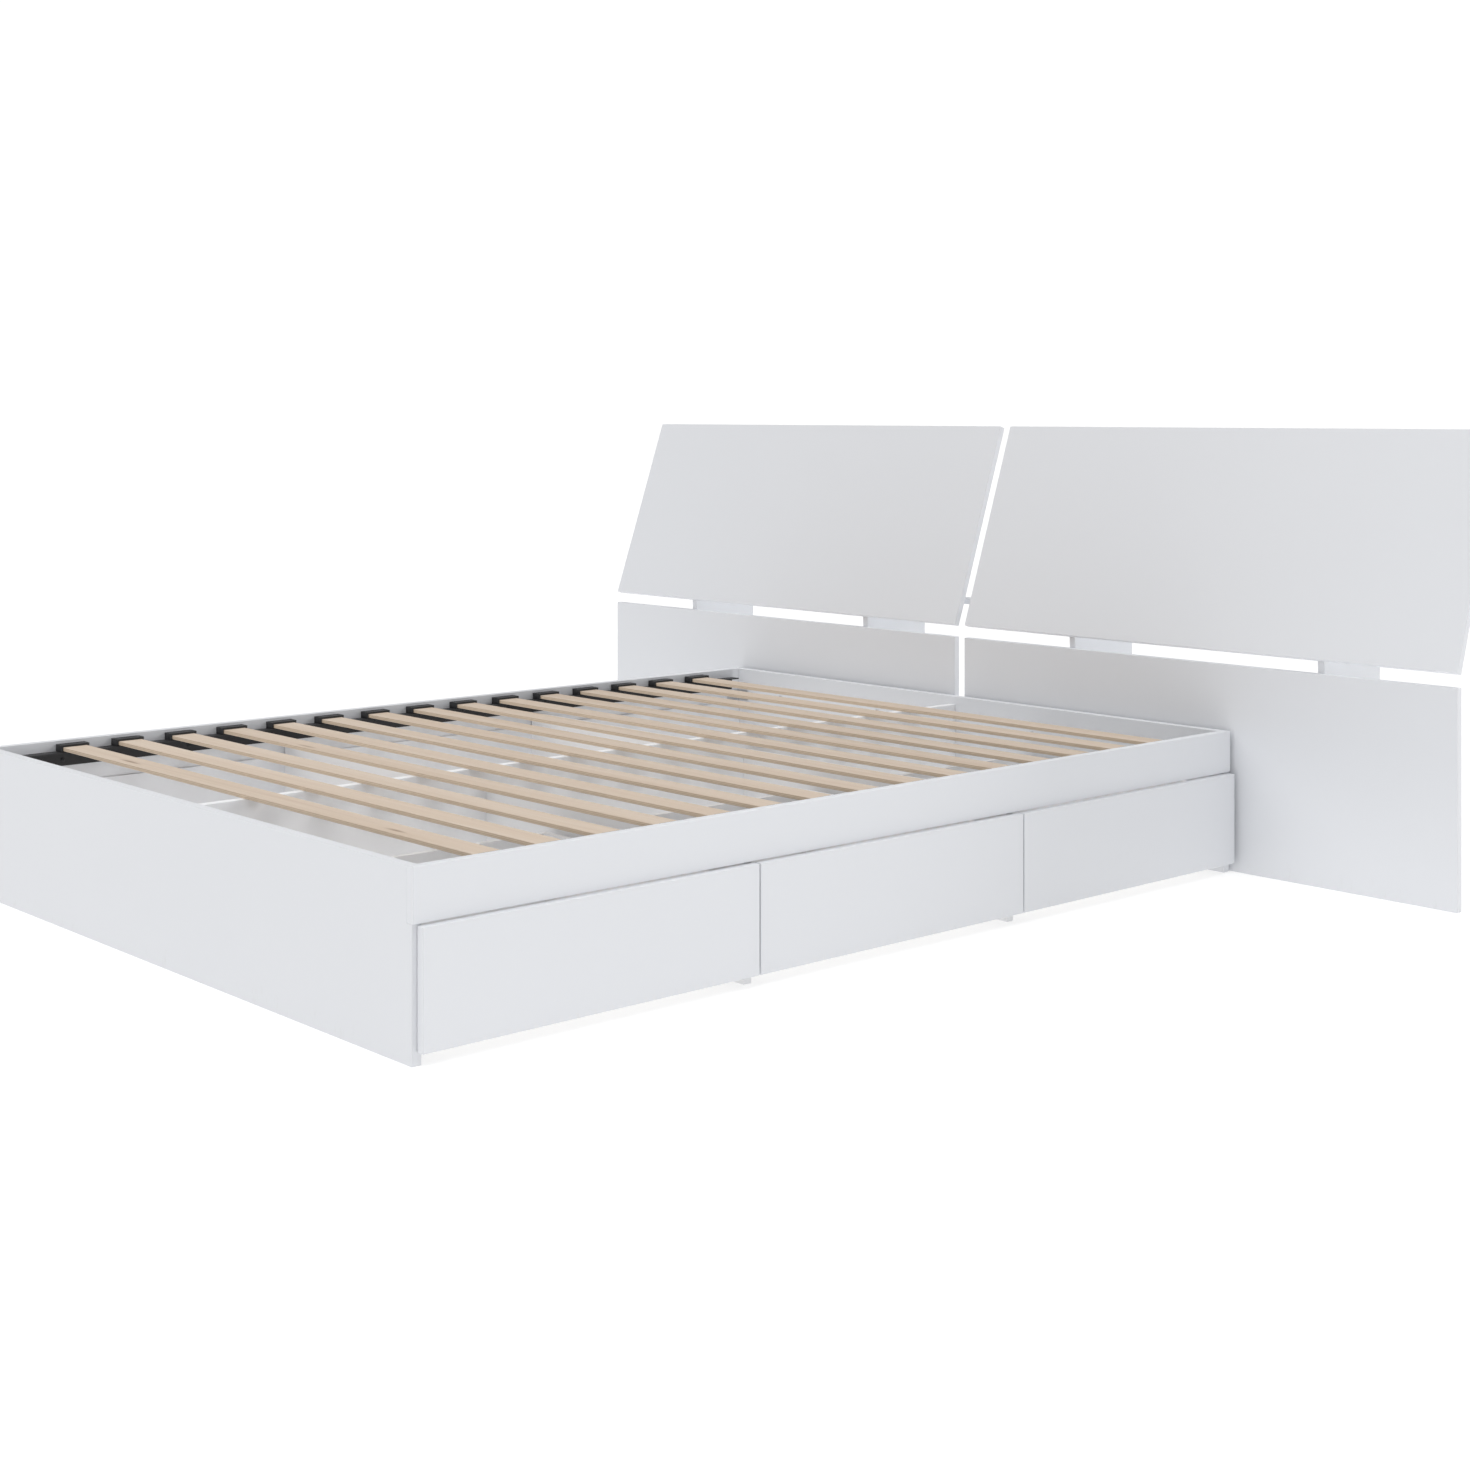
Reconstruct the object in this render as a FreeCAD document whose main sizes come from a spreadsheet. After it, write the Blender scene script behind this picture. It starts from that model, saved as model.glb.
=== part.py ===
import FreeCAD, Part
import os
import re
import Sketcher

# Platform bed with three storage drawers and a wide, leaning headboard.
# Millimetres. +Z is up, +Y runs from the foot to the head, and the drawers open along +X.
# Lengths along Y are given from the footboard's outer face, and place() moves them so that
# the origin is on the floor, at the middle of the whole bed's box.

DIMENSIONS = {
    # frame of the bed
    "frame_width": 1560.0,        # across the footboard
    "frame_length": 2079.0,       # outer face of the footboard to outer face of the head panel
    "frame_height": 302.0,
    "board": 18.0,                # thickness of the frame's boards
    "board_round": 1.0,           # edge radius of a finished board
    "rail_height": 87.0,
    "rail_proud": 4.0,            # the rails stand this far outside the end panels
    "divider_height": 246.0,      # partitions and cross braces
    # slats, their ledges and their holders
    "slat_count": 15.0,
    "slat_width": 53.0,
    "slat_thick": 8.0,
    "slat_length": 1522.0,
    "slat_round": 1.5,
    "slat_under": 283.0,          # height of the slats' underside
    "slat_pitch": 123.0,
    "slat_first": 180.5,          # middle of the first slat
    "ledge_start": 20.0,
    "ledge_length": 2016.0,
    "ledge_leg": 32.0,
    "ledge_flange": 30.0,
    "ledge_metal": 2.5,
    "ledge_hole": 19.0,           # screw holes below the ledge's top
    "holder_base": 2.0,           # plastic under the slat's end
    "holder_fit": 0.4,            # play above the slat's end
    "holder_wall": 4.5,
    "holder_round": 1.8,
    "holder_back": 3.0,
    "holder_height": 14.5,
    "holder_reach": 26.0,
    "holder_length": 63.0,
    "holder_slack": 0.5,          # play between a holder and the rail
    "peg_radius": 4.0,
    "peg_length": 9.0,
    "peg_play": 0.2,
    # drawers
    "drawer_count": 3.0,
    "front_thick": 16.0,
    "front_bottom": 21.0,
    "front_top": 212.0,
    "front_start": 9.0,          # foot edge of the first drawer front
    "front_stop": 3.0,            # last drawer front to the head panel's outer face
    "front_gap": 3.5,
    "front_stand": 1.0,           # play between a drawer front and the end panels
    "box_depth": 560.0,
    "box_bottom": 36.0,
    "box_top": 188.0,
    "box_board": 12.0,
    "box_round": 0.6,
    "tray_thick": 5.0,            # drawer bottom
    "tray_lift": 8.0,             # drawer bottom above the sides' lower edges
    "groove_depth": 6.0,
    "groove_play": 0.2,
    "runner_gap": 13.0,           # between a drawer's side and the board beside it
    "runner_length": 500.0,
    "runner_middle": 110.0,       # height of the runners' centre line
    "runner_height": 27.0,
    "track_depth": 9.5,
    "track_lip": 4.0,
    "slider_height": 17.0,
    "slider_depth": 10.0,
    "runner_metal": 1.2,
    "runner_set": 2.0,            # the runners' front ends, behind the partitions' front edges
    # headboard
    "head_gap": 8.0,              # between the bed and the headboard
    "head_board": 16.0,
    "head_width": 2620.0,
    "head_split": 31.0,           # gap between the two halves
    "head_lower": 442.0,          # height of the upright panels
    "head_step": 30.0,            # gap between upright and leaning panels
    "head_top": 950.0,
    "head_lean": 168.0,           # setback of the leaning panels' top edge
    "gusset_depth": 228.0,        # front of the headboard to the gussets' back edges
    "gusset_inset": 310.0,        # a half panel's side edge to the gusset beside it
    "gusset_shy": 40.0,           # leaning panel's top edge to the gussets' tips
    "gusset_shoulder": 565.0,     # height at which a gusset's back edge starts to slope
    "tie_thick": 12.0,
    "tie_depth": 50.0,
    "tie_height": 516.0,
    "tie_back": 118.0,            # cross tie to the gussets' back edges
    # fasteners
    "bolt_radius": 3.5,
    "bolt_head": 8.5,
    "bolt_cap": 3.0,
    "bolt_play": 0.2,
    "bolt_height": 236.0,
    "bolt_inner": 250.0,          # distance of the bolts from the middle of the bed
    "bolt_outer": 600.0,
    "cam_radius": 7.5,
    "cam_depth": 12.0,
    "cam_edge": 34.0,             # a cam lock's middle to the panel it pulls in
    "cam_low": 90.0,              # heights of the cam locks behind the upright panels
    "cam_high": 350.0,
    "cam_near": 100.0,            # places of the cam locks up the leaning panels
    "cam_far": 360.0,
    "cam_slot": 9.0,              # length of the cross slot
    "cam_slot_width": 1.9,
    "cam_slot_depth": 2.4,
    "bracket_leg": 40.0,
    "bracket_height": 26.0,
    "bracket_hole": 24.0,         # corner to the screw hole in each leg
    "bracket_under": 220.0,
    "screw_radius": 2.0,
    "screw_head": 4.0,
    "screw_cap": 2.2,
    "screw_round": 1.3,
    "screw_length": 13.0,
    "screw_play": 0.1,
    "ledge_screws": 7.0,
}

document = FreeCAD.newDocument("platform_bed")
sheet = document.addObject("Spreadsheet::Sheet", "Dimensions")
for row, (alias, size) in enumerate(DIMENSIONS.items(), start=1):
    sheet.set("A%d" % row, alias.replace("_", " "))
    sheet.set("B%d" % row, str(size))
    sheet.setAlias("B%d" % row, alias)
document.recompute()

# Formulas that many sub-parts share, in the words of the spreadsheet.
HALF_FRAME = "frame_width / 2"
RAIL_OUTSIDE = "(frame_width / 2 + rail_proud)"
RAIL_INSIDE = "(frame_width / 2 + rail_proud - board)"
RAIL_UNDER = "(frame_height - rail_height)"
BAY = "((frame_length - 4 * board) / 3)"
HEAD_FACE = "(frame_length + head_gap)"
OVERALL_DEPTH = "(frame_length + head_gap + gusset_depth)"
HALF_PANEL = "((head_width - head_split) / 2)"
FRONT_WIDTH = "((frame_length - front_start - front_stop - 2 * front_gap) / 3)"
FRONT_BACK = "(frame_width / 2 + front_stand)"
LEDGE_TOP = "(slat_under - holder_base)"
HOLDER_MIDDLE = "(%s - holder_slack - holder_reach / 2)" % RAIL_INSIDE
LEAN_RISE = "(head_top - head_lower - head_step)"
LEAN_LENGTH = "sqrt(head_lean ^ 2 + %s ^ 2)" % LEAN_RISE

SMALLEST_CUT = 1.0    # a pocket that removes less than this volume has missed its board
UPRIGHT = 0.99        # vertical share of an upright edge's direction

exported = []


def bound(formula):
    """The formula with each dimension's name turned into its spreadsheet cell."""
    def cell(word):
        name = word.group(0)
        return "Dimensions." + name if name in DIMENSIONS else name
    return re.sub(r"[a-z_]+", cell, formula)


def value(formula):
    """A formula's present value as a plain number."""
    return float(sheet.evalExpression(bound(formula)))


def origin_plane(body, role):
    """One of the body's own origin planes, found by its role."""
    return next(feature for feature in body.Origin.OriginFeatures if feature.Role == role)


def pin_point(sketch, edge, end, across, along):
    """Constrain one point of a sketch to two formulas, measured from the sketch's origin."""
    for kind, formula, axis in (("DistanceX", across, -2), ("DistanceY", along, -1)):
        if formula == "0":
            sketch.addConstraint(Sketcher.Constraint("PointOnObject", edge, end, axis))
        else:
            size = value(formula)
            index = sketch.addConstraint(Sketcher.Constraint(kind, -1, 1, edge, end, size))
            sketch.setExpression("Constraints[%d]" % index, bound(formula))


def draw(body, role, corners=(), circles=(), lift="0"):
    """A sketch on an origin plane, lifted along its normal: one closed outline and round holes."""
    sketch = body.newObject("Sketcher::SketchObject", body.Name + "_sketch")
    sketch.AttachmentSupport = [(origin_plane(body, role), "")]
    sketch.MapMode = "FlatFace"
    if lift != "0":
        sketch.AttachmentOffset = FreeCAD.Placement(FreeCAD.Vector(0, 0, value(lift)), FreeCAD.Rotation())
        sketch.setExpression("AttachmentOffset.Base.z", bound(lift))
    points = [FreeCAD.Vector(value(across), value(along), 0) for across, along in corners]
    for number, point in enumerate(points):
        sketch.addGeometry(Part.LineSegment(point, points[(number + 1) % len(points)]), False)
    for number in range(len(points)):
        following = (number + 1) % len(points)
        sketch.addConstraint(Sketcher.Constraint("Coincident", number, 2, following, 1))
    for number, (across, along) in enumerate(corners):
        pin_point(sketch, number, 1, across, along)
    for across, along, radius in circles:
        centre = FreeCAD.Vector(value(across), value(along), 0)
        circle = Part.Circle(centre, FreeCAD.Vector(0, 0, 1), value(radius))
        edge = sketch.addGeometry(circle, False)
        pin_point(sketch, edge, 3, across, along)
        index = sketch.addConstraint(Sketcher.Constraint("Radius", edge, value(radius)))
        sketch.setExpression("Constraints[%d]" % index, bound(radius))
    return sketch


# Each direction a board can face: its sketch plane, and whether the plane's normal points back.
FACING = {"x": ("YZ_Plane", False), "y": ("XZ_Plane", True), "z": ("XY_Plane", False)}


def rectangle(across, along, start_across="0", start_along="0"):
    """Corners of a rectangle from its two sizes and its low corner."""
    low = (start_across, start_along)
    high = ("%s + %s" % (across, start_across), "%s + %s" % (along, start_along))
    return [low, (high[0], low[1]), high, (low[0], high[1])]


def panel(label, facing, corners, thickness, circles=(), rounding="board_round"):
    """A board padded from its outline, with its through holes and rounded edges."""
    body = document.addObject("PartDesign::Body", label)
    body.Label = label
    role, backwards = FACING[facing]
    pad = body.newObject("PartDesign::Pad", label + "_pad")
    pad.Profile = draw(body, role, corners)
    pad.Reversed = backwards
    pad.setExpression("Length", bound(thickness))
    document.recompute()
    if rounding:
        fillet = body.newObject("PartDesign::Fillet", label + "_round")
        fillet.Base = (pad, [""])
        fillet.UseAllEdges = True
        fillet.setExpression("Radius", bound(rounding))
        document.recompute()
    if circles:
        cut(body, facing, thickness, circles=circles)
    exported.append(body)
    return body


def cut(body, facing, depth, corners=(), circles=(), far_face=None):
    """Pocket a board from its near face, or from the far face at the thickness given."""
    before = body.Shape.Volume
    role, backwards = FACING[facing]
    lift = "0"
    if far_face:
        lift = "-(%s)" % far_face if backwards else far_face
    pocket = body.newObject("PartDesign::Pocket", body.Name + "_pocket")
    pocket.Profile = draw(body, role, corners, circles, lift)
    pocket.Reversed = backwards if far_face else not backwards
    pocket.setExpression("Length", bound(depth))
    document.recompute()
    if body.Shape.Volume > before - SMALLEST_CUT:
        raise ValueError("a pocket in %s cuts nothing" % body.Label)
    return pocket


def place(part, across, along, up):
    """Put a sub-part's local origin at three formulas, with Y given from the footboard's face."""
    part.setExpression("Placement.Base.x", bound(across))
    part.setExpression("Placement.Base.y", bound("%s - %s / 2" % (along, OVERALL_DEPTH)))
    part.setExpression("Placement.Base.z", bound(up))


def group(label, shapes):
    """Several identical solids as one sub-part; their Y is given from the footboard's face."""
    part = document.addObject("Part::Feature", label)
    part.Label = label
    part.Shape = Part.makeCompound(shapes)
    part.Placement = FreeCAD.Placement(FreeCAD.Vector(0, -value(OVERALL_DEPTH) / 2, 0), FreeCAD.Rotation())
    exported.append(part)
    return part


def at(*point):
    """A vector from three formulas."""
    return FreeCAD.Vector(*[value(formula) for formula in point])


def middles(count, first, step):
    """Evenly spaced positions as formulas."""
    return ["(%s + %d * %s)" % (first, number, step) for number in range(count)]


ALONG_X = FreeCAD.Vector(1, 0, 0)
ALONG_Y = FreeCAD.Vector(0, 1, 0)
ALONG_Z = FreeCAD.Vector(0, 0, 1)
SIDES = (("left", -1), ("right", 1))
SCREW_HOLE = "(screw_radius + screw_play)"
PEG_HOLE = "(peg_radius + peg_play)"
BOLT_HOLE = "(bolt_radius + bolt_play)"
BOLT_ACROSS = ["-bolt_outer", "-bolt_inner", "bolt_inner", "bolt_outer"]
BRACKET_MIDDLE = "(bracket_under + bracket_height / 2)"
BRACKET_ENDS = ("(board + bracket_hole)", "(frame_length - board - bracket_hole)")
LEDGE_SCREW_STEP = "(ledge_length / ledge_screws)"
LEDGE_SCREWS = middles(
    int(value("ledge_screws")), "(ledge_start + %s / 2)" % LEDGE_SCREW_STEP, LEDGE_SCREW_STEP)
LEDGE_SCREW_UP = "(%s - ledge_hole)" % LEDGE_TOP
SLATS = middles(int(value("slat_count")), "slat_first", "slat_pitch")


def end_panel(label, along, bolts):
    """Footboard or head panel: floor to top, notched at its upper corners for the side rails."""
    shoulder = "(%s - %s)" % (HALF_FRAME, RAIL_INSIDE)
    far_shoulder = "(frame_width - %s)" % shoulder
    outline = [("0", "0"), ("frame_width", "0"), ("frame_width", RAIL_UNDER),
               (far_shoulder, RAIL_UNDER), (far_shoulder, "frame_height"),
               (shoulder, "frame_height"), (shoulder, RAIL_UNDER), ("0", RAIL_UNDER)]
    holes = [("(%s + %s)" % (HALF_FRAME, across), "bolt_height", BOLT_HOLE) for across in bolts]
    body = panel(label, "y", outline, "board", holes)
    pilots = [("(%s %s (%s - bracket_hole))" % (HALF_FRAME, sign, RAIL_INSIDE), BRACKET_MIDDLE, SCREW_HOLE)
              for sign in "+-"]
    inner_is_far = label == "footboard"
    cut(body, "y", "screw_length", circles=pilots, far_face="board" if inner_is_far else None)
    place(body, "-" + HALF_FRAME, along, "0")


def side_rails():
    """Two upper side rails, with pilot holes on their inner faces."""
    up = "(%s - %s)" % (BRACKET_MIDDLE, RAIL_UNDER)
    ledge_up = "(%s - %s)" % (LEDGE_SCREW_UP, RAIL_UNDER)
    pilots = [(along, up, SCREW_HOLE) for along in BRACKET_ENDS]
    pilots += [(along, ledge_up, SCREW_HOLE) for along in LEDGE_SCREWS]
    for side, sign in SIDES:
        body = panel("side_rail_" + side, "x", rectangle("frame_length", "rail_height"), "board")
        cut(body, "x", "screw_length", circles=pilots, far_face="board" if sign < 0 else None)
        place(body, RAIL_INSIDE if sign > 0 else "-" + RAIL_OUTSIDE, "0", RAIL_UNDER)


def inner_boards():
    """The closed left side, the centre panel under the slats, the partitions and the left braces."""
    inside = "(frame_length - 2 * board)"
    left = panel("side_panel_left", "x", rectangle(inside, RAIL_UNDER), "board")
    place(left, "-" + HALF_FRAME, "board", "0")
    centre = panel("centre_panel", "x", rectangle(inside, "slat_under"), "board")
    place(centre, "-board / 2", "board", "0")
    divider_starts = middles(2, "(board + %s)" % BAY, "(board + %s)" % BAY)
    for name, start in zip(("partition_foot", "partition_head"), divider_starts):
        partition = panel(name, "y", rectangle("(%s - board / 2)" % RAIL_INSIDE, "divider_height"), "board")
        place(partition, "board / 2", start, "0")
    brace_length = value("%s - board - board / 2" % HALF_FRAME)
    braces = []
    for start in divider_starts:
        brace = Part.makeBox(brace_length, value("board"), value("divider_height"),
                             at("board - %s" % HALF_FRAME, start, "0"))
        braces.append(brace.makeFillet(value("board_round"), brace.Edges))
    group("cross_braces_left", braces)


def slat_ledges():
    """Black steel angles on the rails' inner faces that carry the slat holders."""
    for side, sign in SIDES:
        label = "slat_ledge_" + side
        wall = "(ledge_flange - ledge_metal)"
        top = "(ledge_leg - ledge_metal)"
        if sign > 0:
            outline = [("0", "ledge_leg"), ("0", top), (wall, top), (wall, "0"),
                       ("ledge_flange", "0"), ("ledge_flange", "ledge_leg")]
        else:
            outline = [("0", "0"), ("ledge_metal", "0"), ("ledge_metal", top), ("ledge_flange", top),
                       ("ledge_flange", "ledge_leg"), ("0", "ledge_leg")]
        body = panel(label, "y", outline, "ledge_length", rounding=None)
        hold = "(ledge_flange - holder_slack - holder_reach / 2)"
        if sign < 0:
            hold = "(holder_slack + holder_reach / 2)"
        sockets = [(hold, "(%s - ledge_start)" % along, PEG_HOLE) for along in SLATS]
        cut(body, "z", "ledge_leg", circles=sockets)
        screws = [("(%s - ledge_start)" % along, "(ledge_leg - ledge_hole)", SCREW_HOLE)
                  for along in LEDGE_SCREWS]
        cut(body, "x", "ledge_flange", circles=screws)
        across = "(%s - ledge_flange)" % RAIL_INSIDE if sign > 0 else "-" + RAIL_INSIDE
        place(body, across, "ledge_start", "(%s - ledge_leg)" % LEDGE_TOP)


def slats():
    """Separate flat beech slats, from the foot to the head."""
    for number, along in enumerate(SLATS, start=1):
        body = panel("slat_%02d" % number, "z", rectangle("slat_length", "slat_width"), "slat_thick",
                     rounding="slat_round")
        place(body, "-slat_length / 2", "(%s - slat_width / 2)" % along, "slat_under")


def slat_holder(sign):
    """One plastic cap for a slat's end, closed on top and open towards the middle of the bed."""
    reach, length = value("holder_reach"), value("holder_length")
    wall, back = value("holder_wall"), value("holder_back")
    height, base = value("holder_height"), value("holder_base")
    cap = Part.makeBox(reach, length, height, FreeCAD.Vector(-reach / 2, -length / 2, 0))
    upright = [edge for edge in cap.Edges if abs(edge.tangentAt(edge.FirstParameter).z) > UPRIGHT]
    cap = cap.makeFillet(value("holder_round"), upright)
    pocket = Part.makeBox(reach, length - 2 * wall, value("slat_thick + holder_fit"),
                          FreeCAD.Vector(-reach / 2 - sign * back, wall - length / 2, base))
    peg = Part.makeCylinder(value("peg_radius"), value("peg_length"), FreeCAD.Vector(0, 0, 0), -ALONG_Z)
    return cap.cut(pocket).fuse(peg).removeSplitter()


def slat_holders():
    """Both rows of holders, each row one sub-part of separate solids."""
    for side, sign in SIDES:
        holder = slat_holder(sign)
        row = []
        for along in SLATS:
            copy = holder.copy()
            copy.translate(FreeCAD.Vector(sign * value(HOLDER_MIDDLE), value(along), value(LEDGE_TOP)))
            row.append(copy)
        group("slat_holders_" + side, row)


def lean_point(along_panel, behind):
    """Y and Z formulas of a point on the leaning panel, from its lower front edge."""
    back = "(%s + (%s * head_lean + %s * %s) / %s)" % (HEAD_FACE, along_panel, behind, LEAN_RISE, LEAN_LENGTH)
    rise = "((%s * %s - %s * head_lean) / %s)" % (along_panel, LEAN_RISE, behind, LEAN_LENGTH)
    return back, "(head_lower + head_step + %s)" % rise


def headboard():
    """Two mirrored halves: an upright panel, a leaning panel and two gussets each, and a cross tie."""
    lowest = "(head_lower + head_step - head_board)"
    lean = [lean_point("0", "0"), lean_point(LEAN_LENGTH, "0"),
            lean_point(LEAN_LENGTH, "head_board"), lean_point("0", "head_board")]
    lean_outline = [("(%s - %s)" % (back, HEAD_FACE), "(%s - %s)" % (up, lowest)) for back, up in lean]
    tip = lean_point("(%s - gusset_shy)" % LEAN_LENGTH, "head_board")
    root = lean_point("0", "head_board")
    behind = "(%s + head_board)" % HEAD_FACE
    gusset_outline = [("0", "0"), ("(gusset_depth - head_board)", "0"),
                      ("(gusset_depth - head_board)", "gusset_shoulder"),
                      ("(%s - %s)" % (tip[0], behind), tip[1])]
    gusset_outline += [("(%s - %s)" % (root[0], behind), root[1]), ("0", "head_lower")]
    half_bolts = {"left": BOLT_ACROSS[:2], "right": BOLT_ACROSS[2:]}
    number = 0
    for side, sign in SIDES:
        start = "head_split / 2" if sign > 0 else "-head_width / 2"
        holes = [("(%s - %s)" % (across, start), "bolt_height", BOLT_HOLE) for across in half_bolts[side]]
        front = rectangle(HALF_PANEL, "head_lower")
        lower = panel("headboard_lower_" + side, "y", front, "head_board", holes)
        place(lower, start, HEAD_FACE, "0")
        upper = panel("headboard_upper_" + side, "x", lean_outline, HALF_PANEL)
        place(upper, start, HEAD_FACE, lowest)
        for inset in ("gusset_inset", "(%s - gusset_inset - head_board)" % HALF_PANEL):
            number += 1
            gusset = panel("headboard_gusset_%d" % number, "x", gusset_outline, "head_board")
            cut(gusset, "x", "cam_depth", circles=cam_holes(), far_face="head_board")
            place(gusset, "(%s + %s)" % (start, inset), behind, "0")
    tie_outline = rectangle("(head_split + 2 * gusset_inset)", "tie_depth")
    tie = panel("headboard_tie", "z", tie_outline, "tie_thick")
    place(tie, "-(head_split / 2 + gusset_inset)",
          "(%s + gusset_depth - tie_back - tie_depth)" % HEAD_FACE, "tie_height")


def cam_places():
    """Y and Z formulas of a gusset's cam locks: two by each of the two panels."""
    behind = "(%s + head_board)" % HEAD_FACE
    upright = [("(%s + cam_edge)" % behind, height) for height in ("cam_low", "cam_high")]
    leaning = [lean_point(along, "(head_board + cam_edge)") for along in ("cam_near", "cam_far")]
    return upright + leaning


def cam_holes():
    """The cam locks' round pockets, in a gusset's own frame."""
    behind = "(%s + head_board)" % HEAD_FACE
    return [("(%s - %s)" % (back, behind), up, "cam_radius") for back, up in cam_places()]


def cam_locks():
    """Cam locks in the gussets' side faces, each with its cross slot."""
    radius, depth = value("cam_radius"), value("cam_depth")
    long, wide, floor = value("cam_slot"), value("cam_slot_width"), value("cam_depth - cam_slot_depth")
    cross = [Part.makeBox(depth, across, up, FreeCAD.Vector(floor, -across / 2, -up / 2))
             for across, up in ((long, wide), (wide, long))]
    cam = Part.makeCylinder(radius, depth, FreeCAD.Vector(0, 0, 0), ALONG_X).cut(cross[0].fuse(cross[1]))
    locks = []
    for start in ("-head_width / 2", "head_split / 2"):
        for inset in ("gusset_inset", "(%s - gusset_inset - head_board)" % HALF_PANEL):
            for back, up in cam_places():
                lock = cam.copy()
                lock.translate(at("%s + %s + head_board - cam_depth" % (start, inset), back, up))
                locks.append(lock)
    group("cam_locks", locks)


def bolt_disc(across, radius, start, length):
    """One round step of a headboard bolt, along +Y."""
    base = FreeCAD.Vector(value(across), value(start), value("bolt_height"))
    return Part.makeCylinder(value(radius), value(length), base, ALONG_Y)


def headboard_bolts():
    """Shoulder bolts through the head panel and the headboard, with a collar in the gap between."""
    head_start = "(frame_length - board - bolt_cap)"
    nut_start = "(%s + head_board)" % HEAD_FACE
    bolts = []
    for across in BOLT_ACROSS:
        bolt = bolt_disc(across, "bolt_radius", head_start, "%s + bolt_cap - %s" % (nut_start, head_start))
        collars = ((head_start, "bolt_cap"), ("frame_length", "head_gap"), (nut_start, "bolt_cap"))
        for start, length in collars:
            bolt = bolt.fuse(bolt_disc(across, "bolt_head", start, length))
        bolts.append(bolt.removeSplitter())
    group("headboard_bolts", bolts)


def corner_brackets():
    """Steel angle brackets between the rails and the end panels, above the drawers."""
    leg, metal, height = value("bracket_leg"), value("ledge_metal"), value("bracket_height")
    brackets = []
    for sign in (-1, 1):
        for toward, along in ((1, "board"), (-1, "frame_length - board")):
            corner = FreeCAD.Vector(sign * value(RAIL_INSIDE), value(along), value("bracket_under"))
            plan = [(0, 0), (leg, 0), (leg, metal), (metal, metal), (metal, leg), (0, leg), (0, 0)]
            wire = Part.makePolygon([corner + FreeCAD.Vector(-sign * a, toward * b, 0) for a, b in plan])
            bracket = Part.Face(wire).extrude(FreeCAD.Vector(0, 0, height))
            hole = value(SCREW_HOLE)
            reach = value("bracket_hole")
            for start, axis in ((FreeCAD.Vector(-sign * reach, 0, height / 2), toward * ALONG_Y),
                                (FreeCAD.Vector(0, toward * reach, height / 2), -sign * ALONG_X)):
                bracket = bracket.cut(Part.makeCylinder(hole, 2 * metal, corner + start, axis))
            brackets.append(bracket)
    group("corner_brackets", brackets)


def screw(point, axis):
    """A pan-head screw whose head rests on the metal at this point and whose shank follows the axis."""
    cap = value("screw_cap")
    shank = Part.makeCylinder(value("screw_radius"), value("screw_length"), point, axis)
    head = Part.makeCylinder(value("screw_head"), cap, point - cap * axis, axis)
    rim = min(head.Edges, key=lambda edge: axis.dot(edge.CenterOfMass))
    head = head.makeFillet(value("screw_round"), [rim])
    return shank.fuse(head).removeSplitter()


def frame_screws():
    """Screws of the corner brackets and of the slat ledges."""
    metal = value("ledge_metal")
    screws = []
    for sign in (-1, 1):
        inside = sign * value(RAIL_INSIDE)
        for along in LEDGE_SCREWS:
            point = FreeCAD.Vector(inside - sign * metal, value(along), value(LEDGE_SCREW_UP))
            screws.append(screw(point, sign * ALONG_X))
        for along in BRACKET_ENDS:
            point = FreeCAD.Vector(inside - sign * metal, value(along), value(BRACKET_MIDDLE))
            screws.append(screw(point, sign * ALONG_X))
        for toward, along in ((-1, "board + ledge_metal"), (1, "frame_length - board - ledge_metal")):
            across = inside - sign * value("bracket_hole")
            point = FreeCAD.Vector(across, value(along), value(BRACKET_MIDDLE))
            screws.append(screw(point, toward * ALONG_Y))
    group("frame_screws", screws)


def channel(depth, height, lip, metal, length, point, toward):
    """A channel profile that opens towards +Y or -Y, run along +X from the point given."""
    half = height / 2
    inner = depth - metal
    plan = [(0, -half), (depth, -half), (depth, lip - half), (inner, lip - half), (inner, metal - half),
            (metal, metal - half), (metal, half - metal), (inner, half - metal), (inner, half - lip),
            (depth, half - lip), (depth, half), (0, half), (0, -half)]
    wire = Part.makePolygon([point + FreeCAD.Vector(0, toward * a, b) for a, b in plan])
    return Part.Face(wire).extrude(FreeCAD.Vector(length, 0, 0))


def runner_starts(bay):
    """Y of the two faces that carry a bay's runner tracks, and the way each track opens."""
    near = value("board + %d * (board + %s)" % (bay, BAY))
    return ((near, 1), (near + value(BAY), -1))


def runner_tracks():
    """Fixed members of the drawer runners, on the faces of the bays."""
    back = value("%s - runner_set - runner_length" % RAIL_INSIDE)
    tracks = []
    for bay in range(int(value("drawer_count"))):
        for face, toward in runner_starts(bay):
            point = FreeCAD.Vector(back, face, value("runner_middle"))
            tracks.append(channel(value("track_depth"), value("runner_height"), value("track_lip"),
                                  value("runner_metal"), value("runner_length"), point, toward))
    group("runner_tracks", tracks)


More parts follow.
